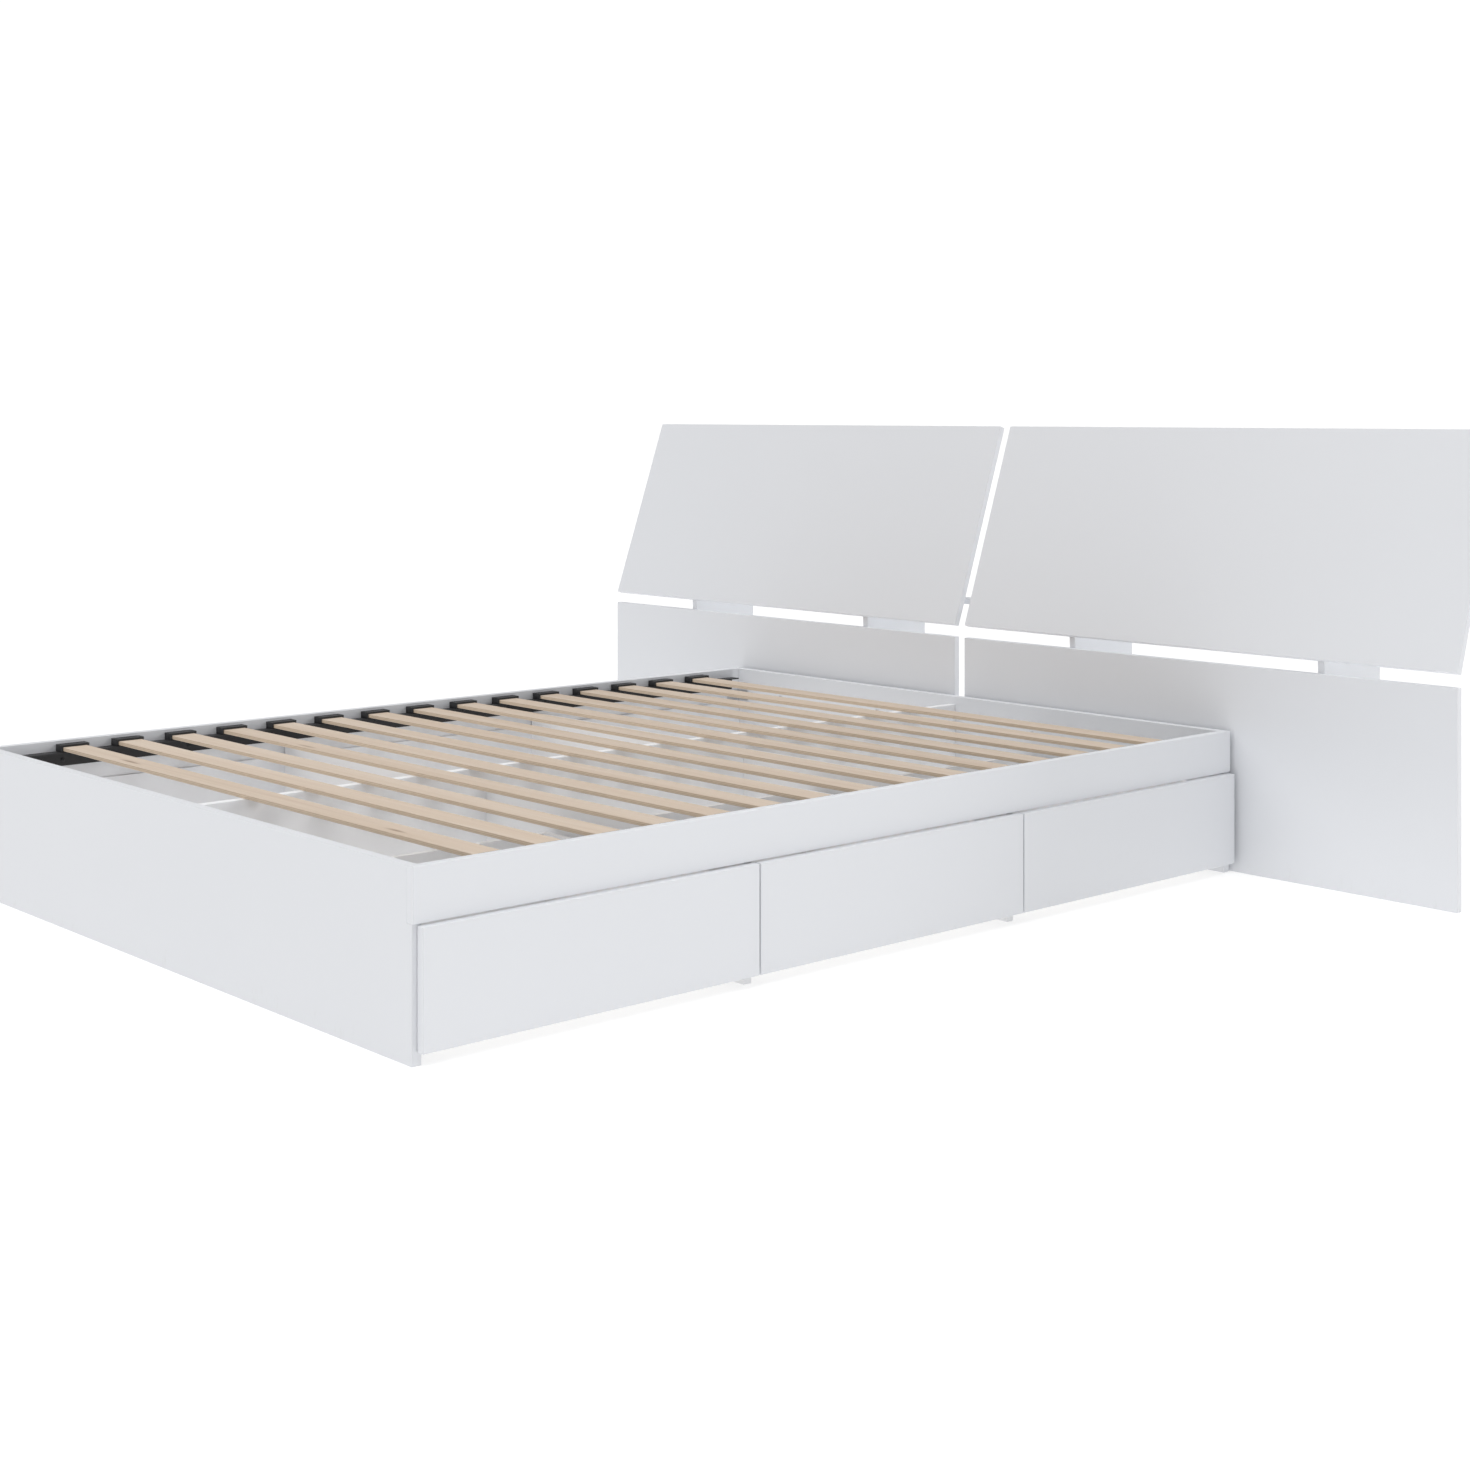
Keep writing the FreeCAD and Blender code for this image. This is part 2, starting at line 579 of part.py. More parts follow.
def drawer(name, bay):
    """One drawer: front, two sides, back, bottom in grooves, and the sliding runner members."""
    bay_start = "(board + %d * (board + %s))" % (bay, BAY)
    box_start = "(%s + runner_gap)" % bay_start
    box_width = "(%s - 2 * runner_gap)" % BAY
    box_height = "(box_top - box_bottom)"
    box_back = "(%s - box_depth)" % FRONT_BACK
    front_start = "(front_start + %d * (%s + front_gap))" % (bay, FRONT_WIDTH)
    tray_up = "(box_bottom + tray_lift)"
    groove_height = "(tray_thick + 2 * groove_play)"
    groove_up = "(tray_lift - groove_play)"

    front = panel(name + "_front", "x", rectangle(FRONT_WIDTH, "(front_top - front_bottom)"), "front_thick")
    groove = rectangle("(%s - 2 * box_board + 2 * groove_depth)" % box_width, groove_height,
                       "(%s - %s + box_board - groove_depth)" % (box_start, front_start),
                       "(%s - groove_play - front_bottom)" % tray_up)
    cut(front, "x", "groove_depth", corners=groove)
    place(front, FRONT_BACK, front_start, "front_bottom")

    for end, along in (("foot", box_start), ("head", "(%s + %s - box_board)" % (box_start, box_width))):
        side = panel("%s_side_%s" % (name, end), "y", rectangle("box_depth", box_height), "box_board",
                     rounding="box_round")
        cut(side, "y", "groove_depth", corners=rectangle("box_depth", groove_height, "0", groove_up),
            far_face="box_board" if end == "foot" else None)
        place(side, box_back, along, "box_bottom")

    inner_width = "(%s - 2 * box_board)" % box_width
    back_under = "(%s + tray_thick + groove_play)" % tray_up
    back = panel(name + "_back", "x", rectangle(inner_width, "(box_top - %s)" % back_under), "box_board",
                 rounding="box_round")
    place(back, box_back, "(%s + box_board)" % box_start, back_under)

    tray_depth = "(box_depth + groove_depth - 2 * groove_play)"
    tray_width = "(%s + 2 * groove_depth - 2 * groove_play)" % inner_width
    tray = panel(name + "_bottom", "z", rectangle(tray_depth, tray_width), "tray_thick", rounding=None)
    place(tray, box_back, "(%s + box_board - groove_depth + groove_play)" % box_start, tray_up)

    back_end = value("%s - runner_set - runner_length" % RAIL_INSIDE)
    sliders = []
    for face, toward in runner_starts(bay):
        point = FreeCAD.Vector(back_end, face + toward * value("runner_gap"), value("runner_middle"))
        sliders.append(channel(value("slider_depth"), value("slider_height"), value("runner_metal"),
                               value("runner_metal"), value("runner_length"), point, -toward))
    group(name + "_sliders", sliders)


end_panel("footboard", "0", [])
end_panel("head_panel", "(frame_length - board)", BOLT_ACROSS)
side_rails()
inner_boards()
slat_ledges()
slats()
slat_holders()
headboard()
cam_locks()
headboard_bolts()
corner_brackets()
frame_screws()
runner_tracks()
for bay_number, drawer_name in enumerate(("drawer_foot", "drawer_middle", "drawer_head")):
    drawer(drawer_name, bay_number)

document.recompute()
for item in document.Objects:
    if "Invalid" in item.State or "Error" in item.State:
        raise ValueError("%s failed: %s" % (item.Label, item.State))
for part in exported:
    if part.Shape.isNull() or not part.Shape.isValid():
        raise ValueError("%s has no valid shape" % part.Label)

os.makedirs("parts", exist_ok=True)
for part in exported:
    part.Shape.exportStep("parts/%s.step" % part.Label)
print("%d sub-parts written" % len(exported))
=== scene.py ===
import math
from contextlib import contextmanager

import bpy
from mathutils import Matrix, Vector


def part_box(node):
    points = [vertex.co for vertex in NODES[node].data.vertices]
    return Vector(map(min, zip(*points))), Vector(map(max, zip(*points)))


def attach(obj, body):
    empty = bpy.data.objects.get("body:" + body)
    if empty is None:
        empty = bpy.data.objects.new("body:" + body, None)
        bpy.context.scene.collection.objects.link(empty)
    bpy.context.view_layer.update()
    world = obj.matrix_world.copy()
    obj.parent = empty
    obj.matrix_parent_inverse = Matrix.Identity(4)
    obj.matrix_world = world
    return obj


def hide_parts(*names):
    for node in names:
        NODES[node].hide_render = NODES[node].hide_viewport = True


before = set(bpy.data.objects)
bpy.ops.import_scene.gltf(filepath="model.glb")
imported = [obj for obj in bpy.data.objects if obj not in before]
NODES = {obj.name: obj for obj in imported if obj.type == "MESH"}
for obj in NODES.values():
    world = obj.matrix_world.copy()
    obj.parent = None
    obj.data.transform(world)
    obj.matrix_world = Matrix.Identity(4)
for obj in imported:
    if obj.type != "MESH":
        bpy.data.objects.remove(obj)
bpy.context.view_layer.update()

# Platform bed with storage drawers. Metres, +Z up, +Y towards the headboard, drawers open along +X.
# Boards keep their own shape from the frame and get their finish here. The slat holders, ledges,
# fasteners and drawer runners are modelled here in full and stand for the frame's plain ones.

MM = 0.001
DRAWERS = ("drawer_foot", "drawer_middle", "drawer_head")
X, Y, Z = Vector((1, 0, 0)), Vector((0, 1, 0)), Vector((0, 0, 1))
SIDES = (("left", -1), ("right", 1))    # each side of the bed, and its sign along X


# ---------------------------------------------------------------- shader arithmetic

class Number:
    """A number that varies over a surface, with Python's own arithmetic."""

    def __init__(self, finish, socket):
        self.finish = finish
        self.socket = socket

    def math(self, operation, first, second=0.0):
        return self.finish.node("ShaderNodeMath", {"operation": operation}, {0: first, 1: second})

    def __add__(self, other):
        return self.math("ADD", self, other)

    def __sub__(self, other):
        return self.math("SUBTRACT", self, other)

    def __rsub__(self, other):
        return self.math("SUBTRACT", other, self)

    def __mul__(self, other):
        return self.math("MULTIPLY", self, other)

    def __truediv__(self, other):
        return self.math("DIVIDE", self, other)

    def __abs__(self):
        return self.math("ABSOLUTE", self)

    def floor(self):
        return self.math("FLOOR", self)

    def wrap(self):
        return self.math("FRACT", self)

    __radd__ = __add__
    __rmul__ = __mul__

    def step(self, low, high):
        """0 below low, 1 above high, and a smooth rise between."""
        values = {"Value": self, "From Min": low, "From Max": high}
        return self.finish.node("ShaderNodeMapRange", {"interpolation_type": "SMOOTHSTEP"}, values)


class Finish:
    """One material, its nodes, and the constants of its shader."""

    def __init__(self, name, **constants):
        self.material = bpy.data.materials.new(name)
        self.material.use_nodes = True
        self.tree = self.material.node_tree
        self.shader = self.tree.nodes["Principled BSDF"]
        for socket, value in constants.items():
            self.shader.inputs[socket.replace("_", " ")].default_value = value
        self.place = self.node("ShaderNodeTexCoord", {}, {}, "Object")
        self.normal = self.node("ShaderNodeNewGeometry", {}, {}, "Normal")

    def node(self, kind, settings, values, output=0):
        """Add a node: its settings first, then the numbers or links of its sockets."""
        made = self.tree.nodes.new(kind)
        for name, value in settings.items():
            setattr(made, name, value)
        for name, value in values.items():
            self.feed(made.inputs[name], value)
        return Number(self, made.outputs[output])

    def feed(self, socket, value):
        """Link a varying value to a socket, or set a plain one in it."""
        if isinstance(value, Number):
            self.tree.links.new(value.socket, socket)
        else:
            socket.default_value = value

    def axis(self, name, vector=None):
        """One coordinate of the surface's place, or of another vector."""
        return self.node("ShaderNodeSeparateXYZ", {}, {0: vector or self.place}, name)

    def facing(self, direction):
        """1 where the surface faces along the direction or against it, and 0 across it."""
        dot = self.node("ShaderNodeVectorMath", {"operation": "DOT_PRODUCT"},
                        {0: self.normal, 1: direction}, "Value")
        return abs(dot)

    def stretched(self, scale, shift=None):
        """The surface's place, scaled along each axis and moved by a number where one is given."""
        placed = self.node("ShaderNodeVectorMath", {"operation": "MULTIPLY"}, {0: self.place, 1: scale})
        if shift is None:
            return placed
        return self.node("ShaderNodeVectorMath", {"operation": "ADD"}, {0: placed, 1: shift})

    def noise(self, scale, detail=2.0, roughness=0.5, distortion=0.0, shift=None):
        """Cloudy noise, 0 to 1, with its own number of features a metre along each axis."""
        values = {"Vector": self.stretched(scale, shift), "Scale": 1.0, "Detail": detail,
                  "Roughness": roughness, "Distortion": distortion}
        return self.node("ShaderNodeTexNoise", {}, values, "Fac")

    def cells(self, scale, shift=None):
        """Distance to the nearest of many scattered points, 0 at a point."""
        values = {"Vector": self.stretched(scale, shift), "Scale": 1.0}
        return self.node("ShaderNodeTexVoronoi", {}, values, "Distance")

    def chance(self, number):
        """A random share, 0 to 1, that stays the same for the same number."""
        return self.node("ShaderNodeTexWhiteNoise", {"noise_dimensions": "1D"}, {"W": number}, "Value")

    def mix(self, factor, first, second):
        """A colour between two others; 6, 7 and 2 are the node's colour sockets."""
        settings = {"data_type": "RGBA", "clamp_factor": True}
        return self.node("ShaderNodeMix", settings, {"Factor": factor, 6: first, 7: second}, 2)

    def bump(self, height, distance, strength=1.0):
        """Relief from a height of 0 to 1 that stands for this distance."""
        values = {"Height": height, "Distance": distance, "Strength": strength}
        self.feed(self.shader.inputs["Normal"], self.node("ShaderNodeBump", {}, values, "Normal"))

    def finish(self, colour, roughness):
        """Feed the shader and give back the finished material."""
        self.feed(self.shader.inputs["Base Color"], colour)
        self.feed(self.shader.inputs["Roughness"], roughness)
        return self.material


def rgb(red, green, blue):
    return (red, green, blue, 1.0)


def even(count):
    """The same number of features a metre along every axis."""
    return (count, count, count)


# ---------------------------------------------------------------- finishes

LAMINATE = rgb(0.798, 0.812, 0.842)
LAMINATE_SHADE = rgb(0.786, 0.801, 0.831)
EDGING = rgb(0.806, 0.820, 0.850)
# painted light: a whiter copy of the laminate, standing in for the light that reaches inside the bed
INNER_PAINTED_LIGHT = rgb(0.940, 0.944, 0.955)
SCUFF = rgb(0.700, 0.700, 0.705)
SCUFF_HEIGHTS = (0.004, 0.050)      # scuffs are full below the first height and gone above the second
OUTER_ROUGHNESS = 0.40
INNER_ROUGHNESS = 0.46


def melamine(name, direction, inner):
    """White melamine laminate on a board's faces, with a plain edging on its edges; boards inside the bed get
    painted light, a whiter copy of the laminate.
    """
    paint = Finish(name, IOR=1.48)
    edge = 1.0 - paint.facing(direction).step(0.55, 0.85)
    cloud = paint.noise(even(1.6), detail=3.0)
    peel = paint.noise(even(260.0))
    pores = paint.noise(even(1500.0), detail=1.0)
    smudge = paint.noise((7.0, 7.0, 11.0), detail=4.0, roughness=0.62).step(0.48, 0.72)
    colour = paint.mix(cloud, LAMINATE, LAMINATE_SHADE)
    colour = paint.mix(edge * 0.85, colour, EDGING)
    low = 1.0 - paint.axis("Z").step(*SCUFF_HEIGHTS)
    marks = paint.noise((60.0, 60.0, 24.0), detail=5.0, roughness=0.7).step(0.56, 0.70)
    colour = paint.mix(low * marks * 0.35, colour, SCUFF)
    # painted light: boards inside the bed are mixed towards the whiter copy of the laminate
    if inner:
        colour = paint.mix(0.8, colour, INNER_PAINTED_LIGHT)
    paint.bump(peel * 0.7 + pores * 0.3, 0.06 * MM, 0.5)
    roughness = INNER_ROUGHNESS if inner else OUTER_ROUGHNESS
    return paint.finish(colour, roughness + edge * 0.08 + smudge * 0.035 + cloud * 0.03)


BEECH_PALE = rgb(0.665, 0.545, 0.435)
BEECH_LIGHT = rgb(0.730, 0.625, 0.525)
BEECH_GRAIN = rgb(0.520, 0.410, 0.315)
BEECH_KNOT = rgb(0.200, 0.120, 0.075)
PLY_LIGHT = rgb(0.720, 0.590, 0.455)
PLY_DARK = rgb(0.520, 0.400, 0.290)
PLY = 1.6 * MM              # thickness of one layer in a slat's edge
FLECKS = (70.0, 900.0, 900.0)       # flecks a metre along each axis
BROWNER = 0.016             # how much more of the grain's brown each slat has, towards the head


def beech(first_slat, pitch, underside):
    """Layered beech: long grain on the faces, plies on the edges, and each slat with its own figure."""
    wood = Finish("beech_slats", IOR=1.35)
    number = ((wood.axis("Y") - (first_slat - pitch / 2)) / pitch).floor()
    brown, pale = wood.chance(number + 3.0), wood.chance(number + 41.0)
    shift = wood.node("ShaderNodeCombineXYZ", {}, {"X": brown * 37.0, "Y": pale * 91.0})
    edge = 1.0 - wood.facing(Z).step(0.35, 0.75)
    figure = wood.noise((1.1, 26.0, 26.0), detail=5.0, roughness=0.55, distortion=0.6, shift=shift)
    fibres = wood.noise((5.0, 620.0, 620.0), detail=3.0, roughness=0.6, shift=shift)
    flecks = wood.noise(FLECKS, detail=1.0, shift=shift).step(0.62, 0.74)
    streak = wood.noise((0.7, 70.0, 70.0), detail=4.0, roughness=0.7, shift=shift).step(0.56, 0.70)
    colour = wood.mix(figure.step(0.30, 0.70), BEECH_LIGHT, BEECH_PALE)
    colour = wood.mix(fibres.step(0.42, 0.78) * 0.45, colour, BEECH_GRAIN)
    colour = wood.mix(streak * 0.28, colour, BEECH_GRAIN)
    colour = wood.mix(flecks * 0.30, colour, BEECH_GRAIN)
    spots = wood.cells((2.3, 20.0, 0.0), shift=shift)
    chosen = wood.noise((1.7, 9.0, 0.0), detail=0.0, shift=shift).step(0.55, 0.59)
    knot = (1.0 - spots.step(0.06, 0.15)) * chosen
    colour = wood.mix(knot * 0.85, colour, BEECH_KNOT)
    colour = wood.mix(brown * 0.16, colour, BEECH_GRAIN)
    colour = wood.mix(pale * 0.14, colour, BEECH_LIGHT)
    colour = wood.mix(number * BROWNER, colour, BEECH_GRAIN)
    layer = ((wood.axis("Z") - underside) / (2 * PLY)).wrap()
    dark_ply = abs(layer - 0.5).step(0.20, 0.30)
    plies = wood.mix(dark_ply * 0.55, PLY_LIGHT, PLY_DARK)
    plies = wood.mix(fibres.step(0.35, 0.80) * 0.35, plies, PLY_DARK)
    colour = wood.mix(edge, colour, plies)
    wood.bump(fibres * 0.7 + figure * 0.3 - flecks * 0.2 - knot * 0.3, 0.25 * MM, 0.55)
    return wood.finish(colour, 0.62 + fibres * 0.12 + edge * 0.08 - flecks * 0.06)


PLASTIC_DARK = rgb(0.017, 0.017, 0.019)
PLASTIC_PALE = rgb(0.024, 0.024, 0.027)
# painted highlight: a paler black for the faces that look up
PLASTIC_PAINTED_HIGHLIGHT = rgb(0.034, 0.034, 0.037)
COAT_DARK = rgb(0.016, 0.016, 0.018)
COAT_PALE = rgb(0.021, 0.021, 0.023)
COAT_GRAIN = rgb(0.060, 0.060, 0.064)


def moulded_plastic():
    """Matt black plastic with the fine sparked texture of its mould, and a painted highlight on the faces
    that look up.
    """
    plastic = Finish("black_moulded_plastic", IOR=1.5)
    spark = plastic.noise(even(1800.0))
    flow = plastic.noise(even(35.0))
    # painted highlight: faces that look up are mixed towards a paler black
    up = plastic.axis("Z", plastic.normal).step(0.2, 0.9)
    colour = plastic.mix(flow, PLASTIC_DARK, PLASTIC_PALE)
    colour = plastic.mix(up * 0.8, colour, PLASTIC_PAINTED_HIGHLIGHT)
    plastic.bump(spark, 0.05 * MM, 0.6)
    return plastic.finish(colour, 0.46 + flow * 0.10 + spark * 0.06)


def powder_coat():
    """Black powder coat on steel: a low orange peel with a few paler grains."""
    coat = Finish("black_powder_coat", IOR=1.5)
    peel = coat.noise(even(420.0))
    grains = coat.noise(even(2600.0), detail=0.0).step(0.70, 0.80)
    patches = coat.noise(even(6.0), detail=3.0)
    colour = coat.mix(patches, COAT_DARK, COAT_PALE)
    colour = coat.mix(grains * 0.25, colour, COAT_GRAIN)
    coat.bump(peel, 0.08 * MM, 0.7)
    return coat.finish(colour, 0.48 + patches * 0.10)


def plated_steel(name, base, lines_scale, roughness):
    """Zinc-plated steel, with rolling lines along one axis and cloudy passivation."""
    metal = Finish(name, Metallic=1.0)
    lines = metal.noise(lines_scale, detail=3.0, roughness=0.6)
    bloom = metal.noise(even(45.0), detail=4.0, roughness=0.6)
    specks = metal.cells(even(900.0)).step(0.0, 0.55)
    red, green, blue = base
    dark = rgb(red * 0.72, green * 0.72, blue * 0.72)
    warm = rgb(red * 1.05, green, blue * 0.90)
    colour = metal.mix(bloom.step(0.35, 0.75) * 0.55, rgb(*base), warm)
    colour = metal.mix(lines.step(0.50, 0.85) * 0.35, colour, dark)
    metal.bump(lines * 0.8 + specks * 0.2, 0.03 * MM, 0.6)
    return metal.finish(colour, roughness + bloom * 0.14 + lines * 0.08)


LACQUER = rgb(0.945, 0.948, 0.956)
LACQUER_SHADE = rgb(0.925, 0.930, 0.940)
FIBRE_DARK = rgb(0.760, 0.745, 0.725)
FIBRE_PALE = rgb(0.850, 0.840, 0.825)


def hardboard():
    """Drawer bottoms: white lacquer above and pale primed fibre below."""
    board = Finish("drawer_hardboard", IOR=1.48)
    under = (0.0 - board.axis("Z", board.normal)).step(-0.6, -0.2)
    fibre = board.noise(even(240.0), detail=4.0, roughness=0.65)
    mottle = board.noise(even(14.0), detail=3.0)
    lacquer = board.mix(mottle, LACQUER, LACQUER_SHADE)
    pressed = board.mix(fibre.step(0.35, 0.70), FIBRE_DARK, FIBRE_PALE)
    colour = board.mix(under, lacquer, pressed)
    board.bump(fibre, 0.05 * MM, 0.5)
    return board.finish(colour, 0.44 + under * 0.25 + mottle * 0.05)


# ---------------------------------------------------------------- modelling by hand

NEAR = 0.1 * MM             # points this close to a plane count as on it
STRAIGHT = 0.9              # a normal or an edge with this much of an axis runs along it
SMOOTH_ANGLE = 32.0


def choose(*pieces):
    """Select only these objects, the last one active."""
    bpy.ops.object.select_all(action="DESELECT")
    for piece in pieces:
        piece.select_set(True)
    bpy.context.view_layer.objects.active = pieces[-1]


@contextmanager
def editing(piece):
    """Edit mode on one piece, and object mode again afterwards."""
    choose(piece)
    bpy.ops.object.mode_set(mode="EDIT")
    yield
    bpy.ops.object.mode_set(mode="OBJECT")


def settle(piece):
    """Put an object's place, turn and size into its mesh."""
    choose(piece)
    bpy.ops.object.transform_apply(location=True, rotation=True, scale=True)
    return piece


def block(name, low, high):
    """A box between two corners, to be shaped further."""
    low, high = Vector(low), Vector(high)
    bpy.ops.mesh.primitive_cube_add(size=1.0, location=(low + high) / 2, scale=high - low)
    piece = bpy.context.active_object
    piece.name = name
    return settle(piece)


def disc(name, centre, radius, depth, axis=Z, sides=32):
    """A round or many-sided bar along an axis, to be shaped further."""
    turn = Z.rotation_difference(axis).to_euler()
    bpy.ops.mesh.primitive_cylinder_add(vertices=sides, radius=radius, depth=depth,
                                        location=centre, rotation=turn)
    piece = bpy.context.active_object
    piece.name = name
    return settle(piece)


def drop_picks(mesh, points=False, edges=False, faces=False):
    """Deselect a whole mesh and choose what is picked next."""
    bpy.context.tool_settings.mesh_select_mode = (points, edges, faces)
    for elements in (mesh.vertices, mesh.edges, mesh.polygons):
        elements.foreach_set("select", [False] * len(elements))


def pick_points(piece, test):
    """Select the points that pass a test of their place."""
    drop_picks(piece.data, points=True)
    for point in piece.data.vertices:
        point.select = test(point.co)


def pick_faces(piece, test):
    """Select the faces that pass a test of their middle and normal."""
    drop_picks(piece.data, faces=True)
    for face in piece.data.polygons:
        face.select = test(face.center, face.normal)


def pick_edges(piece, test):
    """Select the edges that pass a test of their middle and direction."""
    mesh = piece.data
    drop_picks(mesh, edges=True)
    for edge in mesh.edges:
        start, end = (mesh.vertices[index].co for index in edge.vertices)
        edge.select = test((start + end) / 2, (end - start).normalized())


def apply_modifier(piece, kind, **settings):
    """Add a modifier, set it and apply it."""
    choose(piece)
    modifier = piece.modifiers.new(kind.lower(), kind)
    for name, value in settings.items():
        setattr(modifier, name, value)
    bpy.ops.object.modifier_apply(modifier=modifier.name)
    return piece


def split(place, normal):
    """Cut a loop of edges round the piece in edit mode, where a plane crosses it."""
    bpy.ops.mesh.select_all(action="SELECT")
    bpy.ops.mesh.bisect(plane_co=place, plane_no=normal)


def draw_out(x=0.0, y=0.0, z=0.0):
    """Extrude the picked faces of the piece in edit mode, by this much along each axis."""
    bpy.ops.mesh.extrude_region_move(TRANSFORM_OT_translate={"value": (x, y, z)})


def soften(piece, width, segments, angle):
    """Round the edges that are sharper than an angle in degrees."""
    return apply_modifier(piece, "BEVEL", width=width, segments=segments, limit_method="ANGLE",
                          angle_limit=math.radians(angle), harden_normals=False)


def carve(piece, *cutters):
    """Cut other solids out of a piece and remove them."""
    for cutter in cutters:
        apply_modifier(piece, "BOOLEAN", operation="DIFFERENCE", solver="EXACT", object=cutter)
        bpy.data.objects.remove(cutter)
    return piece


def unite(name, *pieces):
    """Join several objects into one, each keeping its own closed shell."""
    choose(*pieces)
    bpy.ops.object.join()
    piece = bpy.context.active_object
    piece.name = name
    return piece


def twin(piece, matrix):
    """A copy of a piece with its own mesh, moved there."""
    choose(piece)
    bpy.ops.object.duplicate(linked=False)
    copy = bpy.context.active_object
    copy.matrix_world = matrix
    return settle(copy)


def scatter(name, model, matrices):
    """Copies of a model, one for each matrix, as one object; the model itself is removed."""
    copies = [twin(model, matrix) for matrix in matrices]
    bpy.data.objects.remove(model)
    return unite(name, *copies)


def finish_piece(piece, body, slot, material, *replaced):
    """Smooth, paint and hang a finished piece on its body."""
    choose(piece)
    bpy.ops.object.shade_smooth_by_angle(angle=math.radians(SMOOTH_ANGLE))
    piece.data.materials.clear()
    piece.data.materials.append(material)
    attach(piece, body)
    if replaced:
        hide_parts(*replaced)
    return piece


def solids(node):
    """Lowest and highest corner of each separate solid of a node, in order of place."""
    choose(NODES[node])
    bpy.ops.object.duplicate(linked=False)
    copy = bpy.context.active_object
    bpy.context.tool_settings.mesh_select_mode = (True, False, False)
    with editing(copy):
        bpy.ops.mesh.select_all(action="SELECT")
        bpy.ops.mesh.remove_doubles(threshold=0.01 * MM)
        bpy.ops.mesh.separate(type="LOOSE")
    found = []
    for part in list(bpy.context.selected_objects):
        places = [vertex.co for vertex in part.data.vertices]
        low = Vector(min(place[axis] for place in places) for axis in range(3))
        high = Vector(max(place[axis] for place in places) for axis in range(3))
        found.append((low, high))
        bpy.data.objects.remove(part)
    return sorted(found, key=lambda pair: tuple(round(value, 4) for value in pair[0]))


def facing_matrix(centre, axis):
    """Turn a model that looks along +Z so that it looks along an axis, and put it there."""
    return Matrix.Translation(centre) @ Z.rotation_difference(axis).to_matrix().to_4x4()


def steps_from_first(places):
    """Moves that carry a model from the first of these places to each of them."""
    start = places[0][0]
    return [Matrix.Translation(place[0] - start) for place in places]


def bed_middle():
    """Halfway between the outer faces of the footboard and the head panel."""
    return (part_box("footboard")[0].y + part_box("head_panel")[1].y) / 2


# ---------------------------------------------------------------- slat holders and ledges

SLAT_FIT = 0.4 * MM         # play between a slat and the pocket of its holder
SLAT_PLAY = 1.0 * MM        # from a slat's end to the pocket's wall
POCKET_PAST = 20.0 * MM     # the pocket's cutter runs on past the holder's mouth
CAP_CORNER = 1.8 * MM
CAP_RIM = 2.4 * MM
CAP_DISH = 0.5 * MM
CAP_SOFT = 0.35 * MM
PEG_RADIUS = 4.0 * MM
PEG_TIP = 1.2 * MM
PEG_SLOT = (0.7 * MM, 5.0 * MM)     # half the width and half the length of the slot's cutter
PEG_ROOT = 3.0 * MM         # the slot stops this far under the ledge's top
STEEL = 2.5 * MM            # thickness of the ledges and corner brackets
BEND_OUTSIDE = 3.4 * MM
BEND_INSIDE = 1.0 * MM
PEG_HOLE = 4.2 * MM
SCREW_HOLE = 2.1 * MM
LEDGE_SCREW_DEPTH = 20.0 * MM       # a ledge's screws are no lower than this under its top


def holder_cap(low, high, slat, sign):
    """A cap that is closed and dished on top, with a pocket for the slat's end."""
    cap = block("slat_holder", low, high)
    pick_edges(cap, lambda middle, along: abs(along.z) > STRAIGHT)
    with editing(cap):
        bpy.ops.mesh.bevel(offset=CAP_CORNER, segments=4)
    pick_faces(cap, lambda middle, normal: normal.z > STRAIGHT)
    with editing(cap):
        bpy.ops.mesh.inset(thickness=CAP_RIM)
        draw_out(z=-CAP_DISH)
    slat_low, slat_high = slat
    if sign < 0:
        end, mouth = slat_low.x - SLAT_PLAY, high.x + POCKET_PAST
    else:
        end, mouth = slat_high.x + SLAT_PLAY, low.x - POCKET_PAST
    pocket = block("pocket", (min(end, mouth), slat_low.y - SLAT_FIT, slat_low.z),
                   (max(end, mouth), slat_high.y + SLAT_FIT, slat_high.z + SLAT_FIT))
    carve(cap, pocket)
    return soften(cap, CAP_SOFT, 2, 50)


def holder_peg(x, y, foot, ledge_top):
    """A round peg with a slotted, bevelled tip."""
    depth = ledge_top - foot
    peg = disc("peg", (x, y, foot + depth / 2), PEG_RADIUS, depth, Z, 24)
    pick_edges(peg, lambda middle, along: middle.z < foot + MM / 2 and abs(along.z) < 0.5)
    with editing(peg):
        bpy.ops.mesh.bevel(offset=PEG_TIP, segments=3)
    half_width, reach = PEG_SLOT
    slot = block("slot", (x - half_width, y - reach, foot - MM),
                 (x + half_width, y + reach, ledge_top - PEG_ROOT))
    return carve(peg, slot)


def slat_holder_row(side, sign, plastic):
    """Caps for the slats' ends: closed on top, open towards the middle, pegged into the ledge."""
    places = solids("slat_holders_" + side)
    ledge_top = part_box("slat_ledge_" + side)[1].z
    low, high = places[0]
    middle = (low + high) / 2
    cap = holder_cap(Vector((low.x, low.y, ledge_top)), high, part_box("slat_01"), sign)
    peg = holder_peg(middle.x, middle.y, low.z, ledge_top)
    model = unite("slat_holder", cap, peg)
    row = scatter("slat_holder_row_" + side, model, steps_from_first(places))
    return finish_piece(row, "bed_frame", "black_plastic", plastic, "slat_holders_" + side)


def lies_across(low, high):
    """True for a screw that lies across the bed, and not along it."""
    return high.x - low.x > high.y - low.y


def is_ledge_screw(low, high, ledge_top):
    """True for the screws that lie across the bed, just under the ledge's top."""
    return lies_across(low, high) and high.z > ledge_top - LEDGE_SCREW_DEPTH


